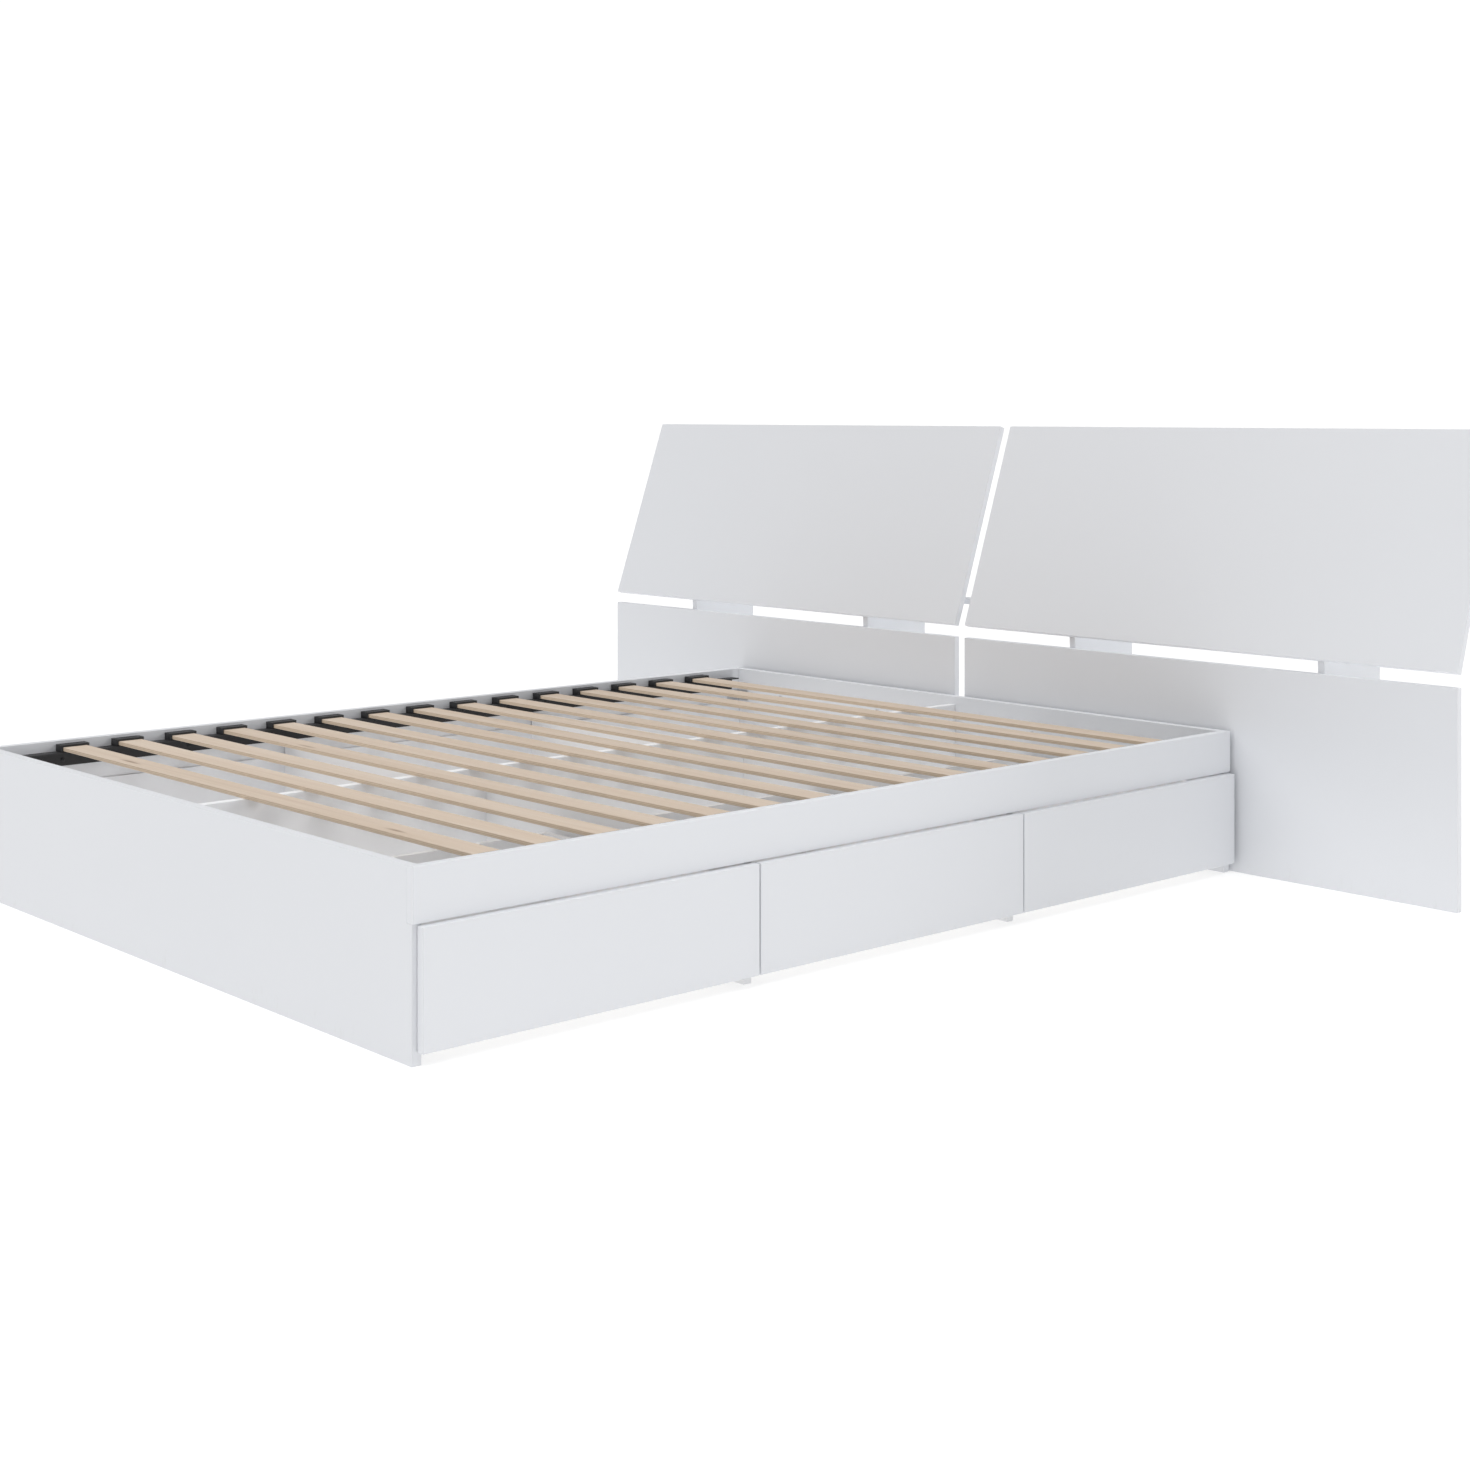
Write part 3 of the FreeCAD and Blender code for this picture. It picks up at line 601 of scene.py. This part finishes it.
def slat_ledge(side, sign, coat):
    """A steel angle, bent with a real radius, with its screw holes and peg sockets."""
    low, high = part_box("slat_ledge_" + side)
    inward = -sign
    wall = low.x if sign < 0 else high.x
    face = wall + inward * STEEL
    ledge = block("slat_ledge_bar_" + side, (min(wall, face), low.y, low.z),
                  (max(wall, face), high.y, high.z))
    with editing(ledge):
        split((0, 0, high.z - STEEL), (0, 0, 1))
    pick_faces(ledge, lambda middle, normal: middle.z > high.z - STEEL and normal.x * inward > STRAIGHT)
    with editing(ledge):
        draw_out(x=inward * (high.x - low.x - STEEL))
    for x, z, radius, segments in ((wall, high.z, BEND_OUTSIDE, 5), (face, high.z - STEEL, BEND_INSIDE, 3)):
        pick_edges(ledge, lambda middle, along: abs(along.y) > STRAIGHT
                   and abs(middle.x - x) < MM / 4 and abs(middle.z - z) < MM / 4)
        with editing(ledge):
            bpy.ops.mesh.bevel(offset=radius, segments=segments)
    pegs = [(first + last) / 2 for first, last in solids("slat_holders_" + side)]
    screws = [(first + last) / 2 for first, last in solids("frame_screws")
              if is_ledge_screw(first, last, high.z) and first.x * sign > 0]
    drills = [disc("drill", (peg.x, peg.y, high.z - STEEL / 2), PEG_HOLE, 3 * STEEL, Z, 20) for peg in pegs]
    drills += [disc("drill", ((wall + face) / 2, screw.y, screw.z), SCREW_HOLE, 3 * STEEL, X, 20)
               for screw in screws]
    carve(ledge, unite("drills", *drills))
    soften(ledge, 0.3 * MM, 1, 60)
    return finish_piece(ledge, "bed_frame", "black_steel", coat, "slat_ledge_" + side)


# ---------------------------------------------------------------- fasteners

RECESS_END = 0.45           # a wedge's length at its bottom, as a share of its length on top
RECESS_FLANK = 0.7          # and its width
SCREW_RADIUS, SCREW_HEAD, SCREW_ROUND = 4.0 * MM, 2.2 * MM, 1.5 * MM
SHANK_RADIUS, SHANK_LENGTH = 1.9 * MM, 13.0 * MM
SHANK_RIM, SHANK_CUP = 0.3 * MM, 2.0 * MM
SCREW_RECESS = (4.4 * MM, 0.9 * MM, 1.5 * MM)       # length, width and depth
CAM_RADIUS, CAM_DEPTH = 7.4 * MM, 12.0 * MM
CAM_RIM, CAM_DISH = 0.9 * MM, 0.4 * MM
CAM_RECESS = (8.4 * MM, 1.7 * MM, 2.6 * MM)
POINTER_PLACE, POINTER_RADIUS, POINTER_DEPTH = 5.1 * MM, 1.1 * MM, 0.8 * MM
BOLT_CAP, BOLT_ROUND, BOLT_SHANK = 3.0 * MM, 1.1 * MM, 3.5 * MM
SOCKET_RADIUS, SOCKET_DEPTH = 3.0 * MM, 2.6 * MM
SOCKET_IN = 0.9 * MM        # from a bolt's face in to the middle of its socket's cutter
BRACKET_TIP = 5.0 * MM
BRACKET_BENDS = ((0.0, 3.2 * MM), (STEEL, 0.9 * MM))        # place in from the corner, and radius
BRACKET_DRILL = 24.0 * MM


def cross_recess(length, width, depth):
    """Two crossed wedges that cut a screw's recess from z = 0 down."""
    wedges = []
    for x, y in ((length, width), (width, length)):
        wedge = block("wedge", (-x / 2, -y / 2, -depth), (x / 2, y / 2, depth))
        pick_faces(wedge, lambda middle, normal: normal.z < -STRAIGHT)
        with editing(wedge):
            bpy.ops.transform.resize(value=(RECESS_END if x > y else RECESS_FLANK,
                                            RECESS_END if y > x else RECESS_FLANK, 1))
        wedges.append(wedge)
    return wedges


def pan_screw():
    """A pan-head wood screw that looks along +Z, its head's top at the origin."""
    head = disc("pan_screw", (0, 0, -SCREW_HEAD / 2), SCREW_RADIUS, SCREW_HEAD, Z, 28)
    pick_edges(head, lambda middle, along: middle.z > -NEAR)
    with editing(head):
        bpy.ops.mesh.bevel(offset=SCREW_ROUND, segments=4)
    carve(head, *cross_recess(*SCREW_RECESS))
    shank = disc("shank", (0, 0, -SCREW_HEAD - SHANK_LENGTH / 2), SHANK_RADIUS, SHANK_LENGTH, Z, 12)
    pick_faces(shank, lambda middle, normal: normal.z < -STRAIGHT)
    with editing(shank):
        bpy.ops.mesh.inset(thickness=SHANK_RIM)
        draw_out(z=SHANK_CUP)
    return unite("pan_screw", head, shank)


def frame_screws(zinc, coat):
    """Black screws in the ledges and bright ones in the brackets, turned to look at the middle of the bed."""
    ledge_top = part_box("slat_ledge_left")[1].z
    black, bright = [], []
    for low, high in solids("frame_screws"):
        middle = (low + high) / 2
        matrices = black if is_ledge_screw(low, high, ledge_top) else bright
        if lies_across(low, high):
            toward = math.copysign(1, -middle.x)
            top = Vector((high.x if toward > 0 else low.x, middle.y, middle.z))
            matrices.append(facing_matrix(top, toward * X))
        else:
            toward = math.copysign(1, bed_middle() - middle.y)
            top = Vector((middle.x, high.y if toward > 0 else low.y, middle.z))
            matrices.append(facing_matrix(top, toward * Y))
    finish_piece(scatter("bracket_screws", pan_screw(), bright), "bed_frame", "zinc", zinc, "frame_screws")
    finish_piece(scatter("ledge_screws", pan_screw(), black), "bed_frame", "black_steel", coat)


def cam_lock():
    """A cam lock that looks along +Z, its face at the origin: rim, cross slot and pointer."""
    lock = disc("cam_lock", (0, 0, -CAM_DEPTH / 2), CAM_RADIUS, CAM_DEPTH, Z, 36)
    pick_faces(lock, lambda middle, normal: normal.z > STRAIGHT)
    with editing(lock):
        bpy.ops.mesh.inset(thickness=CAM_RIM)
        draw_out(z=-CAM_DISH)
    carve(lock, *cross_recess(*CAM_RECESS))
    pointer = disc("pointer", (0, POINTER_PLACE, -CAM_DISH), POINTER_RADIUS, POINTER_DEPTH, Z, 3)
    carve(lock, pointer)
    return soften(lock, 0.15 * MM, 1, 50)


def cam_locks(zinc):
    """A cam lock for each hole in the gussets, looking towards the drawers' side."""
    matrices = []
    for low, high in solids("cam_locks"):
        middle = (low + high) / 2
        matrices.append(facing_matrix(Vector((high.x, middle.y, middle.z)), X))
    return finish_piece(scatter("cam_lock_set", cam_lock(), matrices), "bed_frame", "zinc", zinc, "cam_locks")


def headboard_bolts(zinc):
    """Sleeve bolts with hexagon sockets, and the collars that hold the headboard off the bed."""
    places = solids("headboard_bolts")
    low, high = places[0]
    middle = (low + high) / 2
    radius = (high.x - low.x) / 2
    collar = (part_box("head_panel")[1].y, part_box("headboard_lower_left")[0].y)
    caps = ((low.y, low.y + BOLT_CAP), (high.y - BOLT_CAP, high.y))
    foot_cap, collar_ring, head_cap = [
        disc("bolt", (middle.x, (start + end) / 2, middle.z), radius, end - start, Y, 36)
        for start, end in (caps[0], collar, caps[1])]
    for cap, face, outward in ((foot_cap, low.y, -1), (head_cap, high.y, 1)):
        pick_edges(cap, lambda point, along: abs(point.y - face) < NEAR)
        with editing(cap):
            bpy.ops.mesh.bevel(offset=BOLT_ROUND, segments=4)
        carve(cap, disc("socket", (middle.x, face - outward * SOCKET_IN, middle.z),
                        SOCKET_RADIUS, SOCKET_DEPTH, Y, 6))
    soften(collar_ring, 0.6 * MM, 2, 40)
    shank = disc("bolt", middle, BOLT_SHANK, high.y - low.y - 2 * BOLT_CAP, Y, 24)
    model = unite("bolt", foot_cap, collar_ring, head_cap, shank)
    bolts = scatter("headboard_bolt_set", model, steps_from_first(places))
    return finish_piece(bolts, "bed_frame", "zinc", zinc, "headboard_bolts")


def corner_bracket(low, high):
    """One bent bracket: a leg on the end panel, a leg on the rail, and rounded tips."""
    side = math.copysign(1, low.x)
    toward = math.copysign(1, bed_middle() - low.y)
    corner = Vector((high.x if side > 0 else low.x, low.y if toward > 0 else high.y, (low.z + high.z) / 2))
    leg, half_height = high.x - low.x, (high.z - low.z) / 2
    face = corner.y + toward * STEEL
    plate = block("bracket", (low.x, min(corner.y, face), low.z), (high.x, max(corner.y, face), high.z))
    with editing(plate):
        split((corner.x - side * STEEL, 0, 0), (1, 0, 0))
    pick_faces(plate, lambda point, normal: normal.y * toward > STRAIGHT and abs(point.x - corner.x) < STEEL)
    with editing(plate):
        draw_out(y=toward * (leg - STEEL))
    for depth, radius in BRACKET_BENDS:
        pick_edges(plate, lambda point, along: abs(along.z) > STRAIGHT
                   and abs(abs(point.x - corner.x) - depth) < NEAR
                   and abs(abs(point.y - corner.y) - depth) < NEAR)
        with editing(plate):
            bpy.ops.mesh.bevel(offset=radius, segments=4)
    pick_edges(plate, lambda point, along: abs(along.z) < 1 - STRAIGHT
               and abs(abs(point.z - corner.z) - half_height) < NEAR
               and (abs(abs(point.x - corner.x) - leg) < NEAR and abs(along.y) > STRAIGHT
                    or abs(abs(point.y - corner.y) - leg) < NEAR and abs(along.x) > STRAIGHT))
    with editing(plate):
        bpy.ops.mesh.bevel(offset=BRACKET_TIP, segments=5)
    return plate


def corner_brackets(zinc):
    """The four brackets, with a hole for each screw."""
    plates = [corner_bracket(low, high) for low, high in solids("corner_brackets")]
    drills = [disc("drill", (low + high) / 2, SCREW_HOLE, BRACKET_DRILL,
                   X if lies_across(low, high) else Y, 20)
              for low, high in solids("frame_screws")]
    brackets = carve(unite("corner_bracket_set", *plates), unite("drills", *drills))
    soften(brackets, 0.25 * MM, 1, 60)
    return finish_piece(brackets, "bed_frame", "zinc", zinc, "corner_brackets")


# ---------------------------------------------------------------- drawer runners

SHEET = 1.2 * MM            # thickness of the rolled channels
TRACK_LIP = 4.0 * MM
CHANNEL_BEND = 1.0 * MM
# the holes' places as shares of the length, and one hole's width and height
TRACK_HOLES = ((0.05, 0.30, 0.62, 0.94), 9.0 * MM, 4.4 * MM)
SLIDER_HOLES = ((0.08, 0.36, 0.66, 0.90), 7.0 * MM, 4.0 * MM)


def rail_channel(name, low, high, toward, lip):
    """A rolled channel along X between two corners, open towards +Y or -Y."""
    depth = high.y - low.y
    wall = low.y if toward > 0 else high.y
    face, mouth = wall + toward * SHEET, toward * (depth - SHEET)
    web = block(name, (low.x, min(wall, face), low.z), (high.x, max(wall, face), high.z))
    with editing(web):
        split((0, 0, low.z + SHEET), (0, 0, 1))
        split((0, 0, high.z - SHEET), (0, 0, 1))
    pick_faces(web, lambda middle, normal: normal.y * toward > STRAIGHT
               and not low.z + SHEET < middle.z < high.z - SHEET)
    with editing(web):
        draw_out(y=mouth)
    if lip > SHEET:
        with editing(web):
            split((0, wall + mouth, 0), (0, 1, 0))
        for inward in (1, -1):
            pick_faces(web, lambda middle, normal: normal.z * inward > STRAIGHT
                       and abs(middle.y - wall) > depth - SHEET
                       and low.z + SHEET / 2 < middle.z < high.z - SHEET / 2)
            with editing(web):
                draw_out(z=inward * (lip - SHEET))
    pick_edges(web, lambda middle, along: abs(along.x) > STRAIGHT
               and min(abs(middle.z - low.z), abs(middle.z - high.z)) < NEAR
               and (abs(middle.y - wall) < NEAR or lip > SHEET and abs(middle.y - wall) > depth - NEAR))
    with editing(web):
        bpy.ops.mesh.bevel(offset=CHANNEL_BEND, segments=4)
    return web


def punch(channel, low, high, places, width, tall):
    """Oblong holes through a channel's web, at shares of its length."""
    cutters = []
    for share in places:
        centre = Vector((low.x + share * (high.x - low.x), (low.y + high.y) / 2, (low.z + high.z) / 2))
        cutter = disc("punch", centre, tall / 2, 3 * (high.y - low.y), Y, 20)
        pick_points(cutter, lambda place: place.x > centre.x + NEAR / 10)
        with editing(cutter):
            bpy.ops.transform.translate(value=(width - tall, 0, 0))
        cutters.append(cutter)
    return carve(channel, unite("punches", *cutters))


def runner_tracks(steel):
    """Fixed channels on the faces of the three drawer bays."""
    bay_starts = [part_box(name)[1].y for name in ("footboard", "partition_foot", "partition_head")]
    tracks = []
    for low, high in solids("runner_tracks"):
        toward = 1 if min(abs(low.y - start) for start in bay_starts) < NEAR else -1
        track = rail_channel("track", low, high, toward, TRACK_LIP)
        tracks.append(punch(track, low, high, *TRACK_HOLES))
    joined = unite("runner_track_set", *tracks)
    return finish_piece(joined, "bed_frame", "runner_steel", steel, "runner_tracks")


def drawer_sliders(name, steel):
    """A drawer's two sliding channels, open towards the bay's walls."""
    drawer_middle = sum(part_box(name + "_bottom"), Vector()).y / 2
    parts = []
    for low, high in solids(name + "_sliders"):
        toward = -1 if (low.y + high.y) / 2 < drawer_middle else 1
        slider = rail_channel("slider", low, high, toward, SHEET)
        parts.append(punch(slider, low, high, *SLIDER_HOLES))
    joined = unite(name + "_slider_pair", *parts)
    return finish_piece(joined, name, "runner_steel", steel, name + "_sliders")


# ---------------------------------------------------------------- boards

def paint_node(name, material):
    node = NODES[name]
    node.data.materials.clear()
    node.data.materials.append(material)


def finish_boards():
    """Give every board of the frame its laminate, with the edging on its thin sides."""
    upper_low, upper_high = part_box("headboard_upper_left")
    lean = math.atan2(upper_high.y - upper_low.y, upper_high.z - upper_low.z)
    leaning = Vector((0, math.cos(lean), -math.sin(lean)))
    gussets = ["headboard_gusset_%d" % number for number in range(1, 5)]
    rails = ["side_rail_left", "side_rail_right", "side_panel_left"]
    fronts = [name + "_front" for name in DRAWERS]
    drawer_sides = [name + "_side_" + end for name in DRAWERS for end in ("foot", "head")]
    drawer_backs = [name + "_back" for name in DRAWERS]
    # finish, the way its boards' faces look, whether it is inside the bed, and its boards
    finishes = (
        ("laminate_lengthwise", X, False, rails + gussets + fronts),
        ("laminate_crosswise", Y, False,
         ["footboard", "head_panel", "headboard_lower_left", "headboard_lower_right"]),
        ("laminate_level", Z, False, ["headboard_tie"]),
        ("laminate_leaning", leaning, False, ["headboard_upper_left", "headboard_upper_right"]),
        ("inner_lengthwise", X, True, ["centre_panel"] + drawer_backs),
        ("inner_crosswise", Y, True,
         ["partition_foot", "partition_head", "cross_braces_left"] + drawer_sides),
    )
    for title, direction, inner, names in finishes:
        material = melamine(title, direction, inner)
        for name in names:
            paint_node(name, material)


def finish_slats():
    """Give the slats their wood, with the place of the first and the pitch for their own figures."""
    slats = sorted(name for name in NODES if name.startswith("slat_") and name[-2:].isdigit())
    first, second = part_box(slats[0]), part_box(slats[1])
    wood = beech((first[0].y + first[1].y) / 2, second[0].y - first[0].y, first[0].z)
    for name in slats:
        paint_node(name, wood)


def finish_drawer_bottoms():
    lacquered = hardboard()
    for name in DRAWERS:
        paint_node(name + "_bottom", lacquered)


# ---------------------------------------------------------------- studio

CAMERA_PLACE = Vector((3.5305, -2.9846, 0.9852))
CAMERA_YAW = math.radians(47.946)
CAMERA_LENS = 53.248
CAMERA_DROP = -0.2198       # the view is shifted down, and not tilted, so that upright edges stay upright
SENSOR = 36.0
FLOOR_SIZE = 60.0
FLOOR_PALE = rgb(0.425, 0.425, 0.425)
FLOOR_SHADE = rgb(0.405, 0.405, 0.405)
WHITE = rgb(1.0, 1.0, 1.0)
FLOOR_GLOW = 0.65           # the floor's own light, which keeps shadows off it
SKY_LIGHT = 0.27            # the world as a lamp
SKY_SEEN = 1.05             # the world as the camera sees it
SUNS = (
    # lamp, direction towards it, its angle in degrees and its strength
    ("key", (0.42, -0.22, 0.88), 35, 0.46),
    ("front", (-0.30, -0.75, 0.60), 40, 0.66),
    ("right", (0.75, -0.60, 0.28), 40, 0.12),
    ("rear", (0.37, 0.84, 0.40), 30, 1.15),
    ("overhead", (0.0, 0.0, 1.0), 70, 1.08),
)


def camera():
    """A level camera a metre up, beyond the bed's foot and on the drawers' side."""
    data = bpy.data.cameras.new("camera")
    data.lens = CAMERA_LENS
    data.sensor_width = SENSOR
    data.shift_y = CAMERA_DROP
    data.clip_end = 200.0
    viewer = bpy.data.objects.new("camera", data)
    viewer.location = CAMERA_PLACE
    viewer.rotation_euler = (math.pi / 2, 0, CAMERA_YAW)
    bpy.context.scene.collection.objects.link(viewer)
    bpy.context.scene.camera = viewer


def floor():
    """A wide pale floor with a glow of its own."""
    bpy.ops.mesh.primitive_plane_add(size=FLOOR_SIZE, location=(0, 0, 0))
    ground = bpy.context.active_object
    ground.name = "floor"
    paint = Finish("pale_floor", Emission_Color=WHITE, Emission_Strength=FLOOR_GLOW)
    cloud = paint.noise(even(0.9), detail=3.0)
    colour = paint.mix(cloud, FLOOR_SHADE, FLOOR_PALE)
    ground.data.materials.append(paint.finish(colour, 0.75 + cloud * 0.1))


def sky():
    """An even white studio: full white where the camera sees it, and much dimmer as light."""
    world = bpy.data.worlds.new("studio")
    world.use_nodes = True
    bpy.context.scene.world = world
    tree = world.node_tree
    background = tree.nodes["Background"]
    background.inputs["Color"].default_value = WHITE
    path = tree.nodes.new("ShaderNodeLightPath")
    strength = tree.nodes.new("ShaderNodeMapRange")
    strength.inputs["To Min"].default_value = SKY_LIGHT
    strength.inputs["To Max"].default_value = SKY_SEEN
    tree.links.new(path.outputs["Is Camera Ray"], strength.inputs["Value"])
    tree.links.new(strength.outputs[0], background.inputs["Strength"])


def lights():
    """Wide soft lamps on all sides."""
    for name, direction, angle, strength in SUNS:
        sun = bpy.data.lights.new(name, "SUN")
        sun.energy = strength
        sun.angle = math.radians(angle)
        lamp = bpy.data.objects.new(name, sun)
        lamp.rotation_euler = Vector(direction).to_track_quat("Z", "Y").to_euler()
        bpy.context.scene.collection.objects.link(lamp)


# ---------------------------------------------------------------- the bed

bpy.context.scene.view_settings.view_transform = "Standard"
camera()
floor()
sky()
lights()

finish_boards()
finish_slats()
finish_drawer_bottoms()

BLACK_PLASTIC = moulded_plastic()
BLACK_STEEL = powder_coat()
ZINC = plated_steel("bright_zinc", base=(0.60, 0.61, 0.63), lines_scale=even(60.0), roughness=0.26)
RUNNER_STEEL = plated_steel("runner_steel", base=(0.56, 0.57, 0.59), lines_scale=(6.0, 900.0, 900.0),
                            roughness=0.30)

for side_name, side_sign in SIDES:
    slat_ledge(side_name, side_sign, BLACK_STEEL)
    slat_holder_row(side_name, side_sign, BLACK_PLASTIC)
corner_brackets(ZINC)
frame_screws(ZINC, BLACK_STEEL)
cam_locks(ZINC)
headboard_bolts(ZINC)
runner_tracks(RUNNER_STEEL)
for drawer in DRAWERS:
    drawer_sliders(drawer, RUNNER_STEEL)
